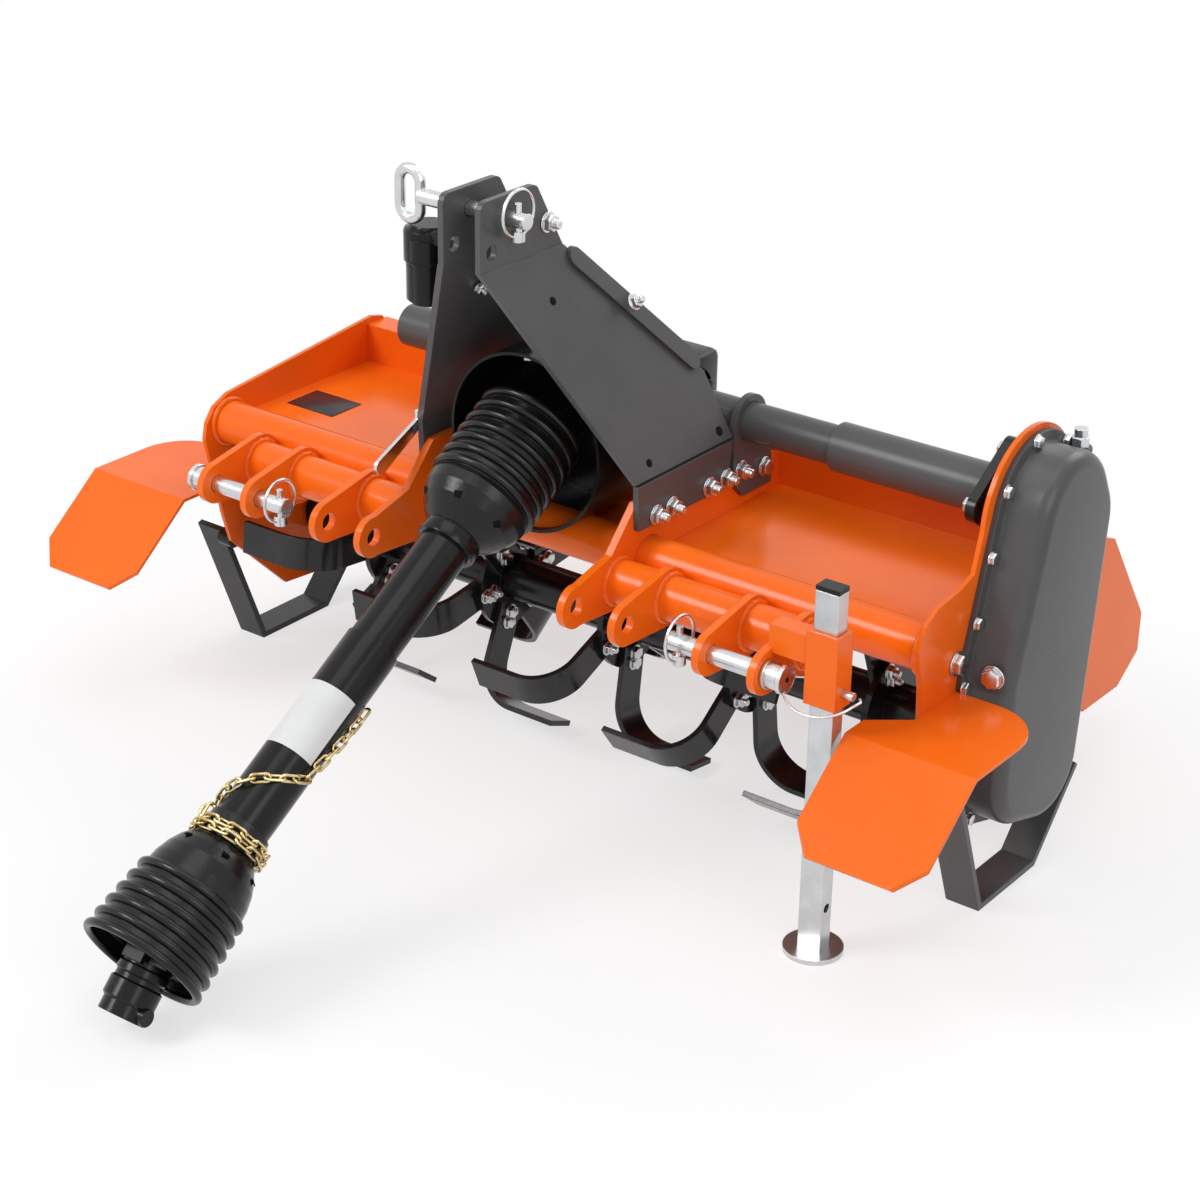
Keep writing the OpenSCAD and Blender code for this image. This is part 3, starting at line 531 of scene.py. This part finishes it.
# bolts of the tines
reel = {"first": -372, "step": 196, "count": 5, "tines": 6, "angle": -97, "turn": 14.5,
        "radii": (46, 60), "axisZ": 175, "size": 9, "headX": 11.1, "nutX": 4.1}
tineHeads, tineNuts = [], []
for i in range(reel["count"]):
    for k in range(reel["tines"]):
        if k % 2 and i == reel["count"] - 1:
            continue
        side = 1 if k % 2 else -1  # which way the foot turns
        a = math.radians(reel["angle"] + reel["turn"] * i + 360 / reel["tines"] * k)
        for r in reel["radii"]:
            y, z = r * math.sin(a), reel["axisZ"] - r * math.cos(a)
            x = reel["first"] + reel["step"] * i
            tineHeads.append(bolt(x + side * reel["headX"], y, z, (side, 0, 0), reel["size"]))
            tineNuts.append(bolt(x - side * reel["nutX"], y, z, (-side, 0, 0), reel["size"]))
scatter("tineBolts", headTemplate, tineHeads, "zinc", "rotor")
scatter("tineNuts", nutTemplate, tineNuts, "zinc", "rotor")
print("bolts:", len(nuts) + len(heads) + len(blackHeads) + len(tineHeads) + len(tineNuts))

# safety chain: turns round the collar, then runs along the tube
chainValues = {"pitch": 21, "width": 9.4, "wire": 1.75, "shorter": 0.6, "stretch": 1.6, "play": 1,
               "bendSteps": 9, "sides": 8, "lean": 45,
               "collarR": 41.5, "turnSteps": 43, "turnAngle": 165,
               "turns": [{"first": 0, "s": 598, "climb": 0.2, "lift": 0.8},
                         {"first": 1, "s": 589, "climb": 0.26, "lift": -0.6}],
               "leave": (568, 42, 164), "tubeR": 37.5,
               "runs": [{"points": 14, "s": 560, "climb": 5.2, "angle": 158, "turn": 11.5},
                        {"points": 8, "s": 486, "climb": 15, "angle": 4, "turn": 6.5}]}
chainEye = {"s": 572, "r": 43, "angle": 166, "ring": 9, "wire": 2.2, "steps": 24, "sides": 10}


def chainLink():
    bm = bmesh.new()
    half, bend = chainValues["pitch"] / 2 - chainValues["shorter"], chainValues["width"] / 2
    path = []
    for end in (1, -1):
        middle = end * (half - bend + chainValues["stretch"])
        for k in range(chainValues["bendSteps"] + 1):
            t = math.pi * k / chainValues["bendSteps"] + (0 if end == 1 else math.pi)
            path.append(Vector((bend * math.cos(t), 0, middle + bend * math.sin(t))))
    sweep(bm, path, chainValues["wire"], chainValues["sides"], True)
    return millimetreTemplate("link", bm, edgeAngle["round"])


def chainPath():
    path, steps = [], chainValues["turnSteps"]
    for turn in chainValues["turns"]:
        for k in range(turn["first"], steps + 1):
            path.append(onShaft(turn["s"] - turn["climb"] * k, chainValues["collarR"] + turn["lift"],
                                chainValues["turnAngle"] - 360 * k / steps))
    path.append(onShaft(*chainValues["leave"]))
    for run in chainValues["runs"]:
        for k in range(run["points"]):
            path.append(onShaft(run["s"] - run["climb"] * k, chainValues["tubeR"],
                                run["angle"] - run["turn"] * k))
    return path


linkTemplate = chainLink()
spots = []
axisDir = (onShaft(100, 0, 0) - onShaft(0, 0, 0)).normalized()
linkStep = (chainValues["pitch"] - 2 * chainValues["wire"] - chainValues["play"]) / 1000
for i, (p, t) in enumerate(walk(chainPath(), linkStep)):
    centre = onShaft((p - onShaft(0, 0, 0)).dot(axisDir) * 1000, 0, 0)
    out = (p - centre).normalized()
    flat = (out - t * out.dot(t)).normalized()
    wide = flat.cross(t)
    lean = math.radians(chainValues["lean"] if i % 2 else -chainValues["lean"])
    x = wide * math.cos(lean) + flat * math.sin(lean)
    spots.append((Matrix.Translation(p) @ Matrix((x, t.cross(x), t)).transposed().to_4x4(), 1.0))
chain = scatter("chainLinks", linkTemplate, spots, "yellowZinc", "shaft_outer")
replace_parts(chain, "safety_chain")
bm = bmesh.new()
path = [onShaft(chainEye["s"] + chainEye["ring"] * math.cos(t),
                chainEye["r"] + chainEye["ring"] * math.sin(t), chainEye["angle"])
        for t in turns(chainEye["steps"])]
sweep(bm, path, chainEye["wire"] / 1000, chainEye["sides"], True)
newPiece("chainEye", bm, "yellowZinc", "shaft_outer", edgeAngle["round"])
print("chain:", len(spots), "links")

# weld beads of the hitch tubes and the cross tube
welds = {"y": -217, "z": 345, "radius": 27.5, "lugs": (228, 344, 418), "half": 5, "endX": 160,
         "bead": 4.2, "ripple": 0.5, "waves": (17, 23), "steps": 60, "sides": 8}
tubeWelds = {"ends": [(-527.5, 1), (545, -1)], "inset": 2, "y": -159, "z": 354, "radius": 29.5,
             "bead": 4, "steps": 60, "sides": 8}


def weldRing(bm, x):
    path = []
    for t in turns(welds["steps"]):
        r = welds["radius"] + welds["ripple"] * math.sin(welds["waves"][0] * t)
        path.append(at(x + welds["ripple"] * math.cos(welds["waves"][1] * t),
                       welds["y"] + r * math.cos(t), welds["z"] + r * math.sin(t)))
    sweep(bm, path, welds["bead"] / 1000, welds["sides"], True)


bm = bmesh.new()
for side in (-1, 1):
    for x in welds["lugs"]:
        for s in (-1, 1):
            if (side, x, s) == (-1, welds["lugs"][-1], 1):  # the left tube ends in its outer lug
                continue
            weldRing(bm, side * x + s * side * welds["half"])
    weldRing(bm, side * welds["endX"])
newPiece("hitchWelds", bm, "orangePaint", "frame", edgeAngle["round"])

bm = bmesh.new()
for x, s in tubeWelds["ends"]:
    path = [at(x + s * tubeWelds["inset"], tubeWelds["y"] + tubeWelds["radius"] * math.cos(t),
               tubeWelds["z"] + tubeWelds["radius"] * math.sin(t)) for t in turns(tubeWelds["steps"])]
    sweep(bm, path, tubeWelds["bead"] / 1000, tubeWelds["sides"], True)
newPiece("tubeWelds", bm, "orangePaint", "frame", edgeAngle["round"])
print("welds done")


# black flange between the axle sleeve and the plate
def plateX(bm, outline, x0, x1, soft):
    low = [bm.verts.new(at(x0, y, z)) for y, z in outline]
    high = [bm.verts.new(at(x1, y, z)) for y, z in outline]
    ends = [bm.faces.new(low[::-1]), bm.faces.new(high)]
    joinRings(bm, low, high)
    edges = [e for face in ends for e in face.edges]
    bmesh.ops.bevel(bm, geom=edges, offset=soft / 1000, **softEdge)


flange = {"hub": (34, 469, 48), "ears": [(-40, 478, 17), (30, 524, 17), (98, 440, 15)], "x0": 519,
          "x1": 530.8, "soft": 1, "boltX": 518.8, "boltSize": 10}
bm = bmesh.new()
plateX(bm, hullOf([flange["hub"]] + flange["ears"], 0), flange["x0"], flange["x1"], flange["soft"])
newPiece("axleFlange", bm, "blackPaint", "frame")
spots = [bolt(flange["boltX"], y, z, (-1, 0, 0), flange["boltSize"]) for y, z, _ in flange["ears"]]
scatter("axleFlangeBolts", headTemplate, spots, "zinc", "frame")

# holes of the mast plates, shown as dark discs of painted shade
discForm = {"core": 0.2, "steps": 20}


def disc(bm, radius, low, high, place):
    core = discForm["core"]
    lathe(bm, metres([(core, low), (radius, low), (radius, high), (core, high)]), discForm["steps"], place)


bm = bmesh.new()
for side in (-1, 1):
    rise, run = mast["lean"]
    slope = Vector((side * rise, 0, run)).normalized()
    for y, z, r in mast["holes"]:
        base = at(side * (mast["footX"] - (z - mast["foldZ"]) / rise * run), y, z)
        disc(bm, r, *mast["disc"], aim(base + slope * (mast["lift"] / 1000), slope))
newPiece("mastHoles", bm, "paintedHoleShade", "frame")

# collars of the lower pins, and dark discs of painted shade for their end holes
pinEnd = {"y": -297, "z": 340, "seat": 14.5, "reach": 17.4, "bevel": 0.6, "steps": 40,
          "collars": [(423.6, 427.6), (443.4, 449.4)], "end": 449.4, "hole": 3, "holeDepth": 0.3}
for side, name in ((-1, "pinCollarsLeft"), (1, "pinCollarsRight")):
    bm = bmesh.new()
    seat, reach, bevel = pinEnd["seat"], pinEnd["reach"], pinEnd["bevel"]
    for x0, x1 in pinEnd["collars"]:
        ring = [(seat, x0), (reach - bevel, x0), (reach, x0 + bevel), (reach, x1 - bevel),
                (reach - bevel, x1), (seat, x1)]
        lathe(bm, metres(ring), pinEnd["steps"], aim(at(0, pinEnd["y"], pinEnd["z"]), (side, 0, 0)))
    newPiece(name, bm, "zinc", "frame")
# end holes of the pins: dark discs of painted shade
bm = bmesh.new()
for side in (-1, 1):
    disc(bm, pinEnd["hole"], 0, pinEnd["holeDepth"],
         aim(at(side * pinEnd["end"], pinEnd["y"], pinEnd["z"]), (side, 0, 0)))
newPiece("pinHoles", bm, "paintedHoleShade", "frame")

# wire of the stand's snap pin
snap = {"wire": 1.6, "sides": 8, "start": [(530, -276, 334), (535, -282, 334)],
        "centre": (488, -284, 332), "reach": (46, 34), "sag": 14, "from": -20, "turn": 150, "steps": 23,
        "end": [(442, -276, 334), (455, -272, 336), (464, -272, 336)]}
path = [at(*p) for p in snap["start"]]
for k in range(snap["steps"] + 1):
    t = math.radians(snap["from"] - snap["turn"] * k / snap["steps"])
    x, y, z = snap["centre"]
    path.append(at(x + snap["reach"][0] * math.cos(t), y + snap["reach"][1] * math.sin(t),
                   z - snap["sag"] * math.sin(math.pi * k / snap["steps"])))
path += [at(*p) for p in snap["end"]]
bm = bmesh.new()
sweep(bm, path, snap["wire"] / 1000, snap["sides"])
newPiece("snapWire", bm, "zinc", "frame", edgeAngle["round"])

# windows in the two bells, drawn as dark boxes of painted shade
window = {"low": (-4.5, -4.5, -0.8), "high": (4.5, 4.5, 0.35), "soft": 0.3,
          "cone": {"s": 118, "r": 57.2, "slope": 45, "count": 6, "first": 75},
          "bell": {"s": 616, "r": 50.4, "slope": -52, "count": 6, "first": 105}}
bm = bmesh.new()
box(bm, window["low"], window["high"], soft=window["soft"])
windowTemplate = millimetreTemplate("window", bm)


def bellSpots(s, r, slope, count, first):
    found = []
    for k in range(count):
        a = first + 360 * k / count
        p = onShaft(s, r, a)
        out = (p - onShaft(s, 0, a)).normalized()
        t = math.radians(slope)
        found.append((aim(p, out * math.cos(t) + axisDir * math.sin(t)), 1.0))
    return found


coneSpots, bellEndSpots = bellSpots(**window["cone"]), bellSpots(**window["bell"])
scatter("coneWindows", windowTemplate, coneSpots, "paintedHoleShade", "shaft_inner")
scatter("bellWindows", windowTemplate, bellEndSpots, "paintedHoleShade", "shaft_outer")

# smooth collar of the guard cone
coneCollar = {"steps": 64, "profile": [(36.4, 141.2), (37.2, 143), (37.2, 158), (36.6, 160.2),
                                       (36.2, 160.2), (36.2, 141.2)]}
bm = bmesh.new()
lathe(bm, metres(coneCollar["profile"]), coneCollar["steps"], aim(onShaft(0, 0, 0), axisDir))
newPiece("coneCollar", bm, "blackPlastic", "shaft_inner")

# splines in the tractor yoke and the ridges of its lock
spline = {"low": (-1.9, 15.4, -27), "high": (1.9, 18, 27), "soft": 0.4, "along": 70, "count": 6}
yokeCollar = {"steps": 48, "profile": [(27.2, 40), (29.2, 42), (29.2, 50), (27.5, 52), (27.5, 58),
                                       (30.2, 60), (30.2, 80), (27.5, 83), (27.2, 83)]}
yokeDrop = math.radians(shaft["yokeDrop"])
yokeDir = Vector((0, -math.cos(yokeDrop), -math.sin(yokeDrop)))
yokeFrame = aim(Vector(joints["yoke_pitch"]["pos_m"]), yokeDir)
bm = bmesh.new()
box(bm, spline["low"], spline["high"], soft=spline["soft"])
ribTemplate = millimetreTemplate("splineRib", bm)
ribPlace = yokeFrame @ Matrix.Translation((0, 0, spline["along"] / 1000))
spots = [(ribPlace @ Matrix.Rotation(t, 4, "Z"), 1.0) for t in turns(spline["count"])]
scatter("splineRibs", ribTemplate, spots, "zinc", "tractor_end")
bm = bmesh.new()
lathe(bm, metres(yokeCollar["profile"]), yokeCollar["steps"], yokeFrame)
newPiece("yokeCollar", bm, "blackPlastic", "tractor_end")
print("driveline details done")

# blank label on the outer guard
label = {"ends": (386, 474), "from": 8, "turn": 134, "radius": 33.8, "steps": 24}
bm = bmesh.new()
rows = [[bm.verts.new(onShaft(s, label["radius"], label["from"] + label["turn"] * k / label["steps"]))
         for k in range(label["steps"] + 1)] for s in label["ends"]]
for k in range(label["steps"]):
    bm.faces.new((rows[0][k], rows[0][k + 1], rows[1][k + 1], rows[1][k]))
newPiece("guardLabel", bm, "labelWhite", "shaft_outer")

# blank plate on the deck
millimetres = Matrix.Translation((0, rotorY, 0)) @ Matrix.Scale(0.001, 4)
deckPlate = {"low": (-504, -72, 358.05), "high": (-424, -14, 359.2), "soft": 0.3}
bm = bmesh.new()
box(bm, deckPlate["low"], deckPlate["high"], millimetres, deckPlate["soft"])
newPiece("blankPlate", bm, "plateBlank", "frame")

# lid of the gearbox
gearLid = {"low": (-79, 10, 452), "high": (79, 97, 526), "soft": 11}
bm = bmesh.new()
box(bm, gearLid["low"], gearLid["high"], millimetres, gearLid["soft"])
newPiece("gearLid", bm, "castPaint", "frame")

# shell of the canister for papers
canister = {"foot": (-101, -243, 640), "steps": 48,
            "profile": [(1, 0), (26, 0), (28, 2), (28, 44), (27, 45), (27, 48), (30.5, 49), (30.5, 84),
                        (29, 87), (24, 89), (22, 92), (1, 92)]}
bm = bmesh.new()
lathe(bm, metres(canister["profile"]), canister["steps"], Matrix.Translation(at(*canister["foot"])))
newPiece("canisterShell", bm, "blackPlastic", "frame")

for obj in templates:
    bpy.data.objects.remove(obj)

# floor, which fades to white away from the part
stageValues = {"half": 30, "colour": (0.95, 0.95, 0.95, 1), "rough": 0.6, "specular": 0.1,
               "fade": (0.7, 2.0, 0.66, 1.0)}
bm = bmesh.new()
bmesh.ops.create_grid(bm, x_segments=1, y_segments=1, size=stageValues["half"])
floorMesh = meshFrom(bm, "floor")
floor = bpy.data.objects.new("floor", floorMesh)
scene.collection.objects.link(floor)
floorMat = bpy.data.materials.new("floorPale")
floorMat.use_nodes = True
tree = floorMat.node_tree
floorShader = tree.nodes["Principled BSDF"]
floorShader.inputs["Base Color"].default_value = stageValues["colour"]
floorShader.inputs["Roughness"].default_value = stageValues["rough"]
floorShader.inputs["Specular IOR Level"].default_value = stageValues["specular"]


def seenFactor(tree):
    path = tree.nodes.new("ShaderNodeLightPath")
    total = path.outputs["Is Camera Ray"]
    for label in ("Is Glossy Ray", "Is Transmission Ray"):
        most = tree.nodes.new("ShaderNodeMath")
        most.operation = "MAXIMUM"
        tree.links.new(total, most.inputs[0])
        tree.links.new(path.outputs[label], most.inputs[1])
        total = most.outputs[0]
    return total


coord, reach = tree.nodes.new("ShaderNodeTexCoord"), tree.nodes.new("ShaderNodeVectorMath")
reach.operation = "LENGTH"
fade, share = mapRange(tree, stageValues["fade"]), tree.nodes.new("ShaderNodeMath")
fade.interpolation_type = "SMOOTHSTEP"
share.operation = "MULTIPLY"
glow, blend = tree.nodes.new("ShaderNodeEmission"), tree.nodes.new("ShaderNodeMixShader")
tree.links.new(coord.outputs["Object"], reach.inputs[0])
tree.links.new(reach.outputs["Value"], fade.inputs["Value"])
tree.links.new(fade.outputs["Result"], share.inputs[0])
tree.links.new(seenFactor(tree), share.inputs[1])
tree.links.new(share.outputs[0], blend.inputs["Fac"])
tree.links.new(floorShader.outputs["BSDF"], blend.inputs[1])
tree.links.new(glow.outputs["Emission"], blend.inputs[2])
tree.links.new(blend.outputs["Shader"], tree.nodes["Material Output"].inputs["Surface"])
floorMesh.materials.append(floorMat)

# lamps and sky: places and sizes in metres, power in watts
lamps = {"key": {"place": (-2.2, -3.2, 3.6), "size": 2.0, "power": 135},
         "fill": {"place": (3.6, -1.6, 2.4), "size": 2.4, "power": 48},
         "rim": {"place": (0.6, 3.4, 3.0), "size": 2.4, "power": 60},
         "top": {"place": (0.2, -0.4, 4.2), "size": 2.6, "power": 34}}
lampTarget = Vector((0, 0, 0.3))
sky = {"colour": (0.86, 0.9, 0.95, 1), "strength": 0.4, "seen": (1, 1, 1, 1)}


def areaLight(name, place, size, power):
    lamp = bpy.data.lights.new(name, "AREA")
    lamp.size, lamp.energy = size, power
    obj = bpy.data.objects.new(name, lamp)
    obj.matrix_world = aim(Vector(place), Vector(place) - lampTarget)
    scene.collection.objects.link(obj)


for name, values in lamps.items():
    areaLight(name, **values)
world = bpy.data.worlds.new("studio")
scene.world = world
world.use_nodes = True
tree = world.node_tree
shade = tree.nodes["Background"]
white = tree.nodes.new("ShaderNodeBackground")
white.inputs["Color"].default_value = sky["seen"]
shade.inputs["Color"].default_value = sky["colour"]
shade.inputs["Strength"].default_value = sky["strength"]
mix = tree.nodes.new("ShaderNodeMixShader")
tree.links.new(seenFactor(tree), mix.inputs["Fac"])
tree.links.new(shade.outputs["Background"], mix.inputs[1])
tree.links.new(white.outputs["Background"], mix.inputs[2])
tree.links.new(mix.outputs["Shader"], tree.nodes["World Output"].inputs["Surface"])
print("stage done")
